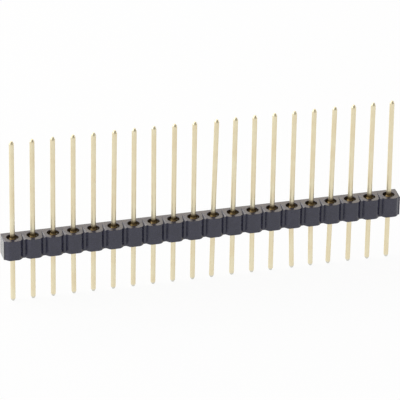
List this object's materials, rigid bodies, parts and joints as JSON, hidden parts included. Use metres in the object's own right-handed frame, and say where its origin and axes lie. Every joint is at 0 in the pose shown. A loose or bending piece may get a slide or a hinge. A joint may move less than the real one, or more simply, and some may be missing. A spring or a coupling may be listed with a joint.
{
  "type": "pin header strip",
  "caption": "Single-row header strip: slim turned gold pins, long above and short below, in a black moulded bar of notched break-off cells, to be soldered into a circuit board.",
  "frame": {"origin": "middle of the seat, the flat underside of the bar, midway along the row", "axes": "+X along the row, +Z along the posts, away from the board, -Y the front of the bar"},
  "size_m": [0.0508, 0.0026, 0.0216],
  "materials": {
    "insulator": "semi-gloss moulded",
    "pins": "bright gold plate on turned brass"
  },
  "bodies": {
    "root": {"insulator": "insulator", "pin_01": "pins", "pin_02": "pins", "pin_03": "pins", "pin_04": "pins", "pin_05": "pins", "pin_06": "pins", "pin_07": "pins", "pin_08": "pins", "pin_09": "pins", "pin_10": "pins", "pin_11": "pins", "pin_12": "pins", "pin_13": "pins", "pin_14": "pins", "pin_15": "pins", "pin_16": "pins", "pin_17": "pins", "pin_18": "pins", "pin_19": "pins", "pin_20": "pins"}
  },
  "joints": []
}
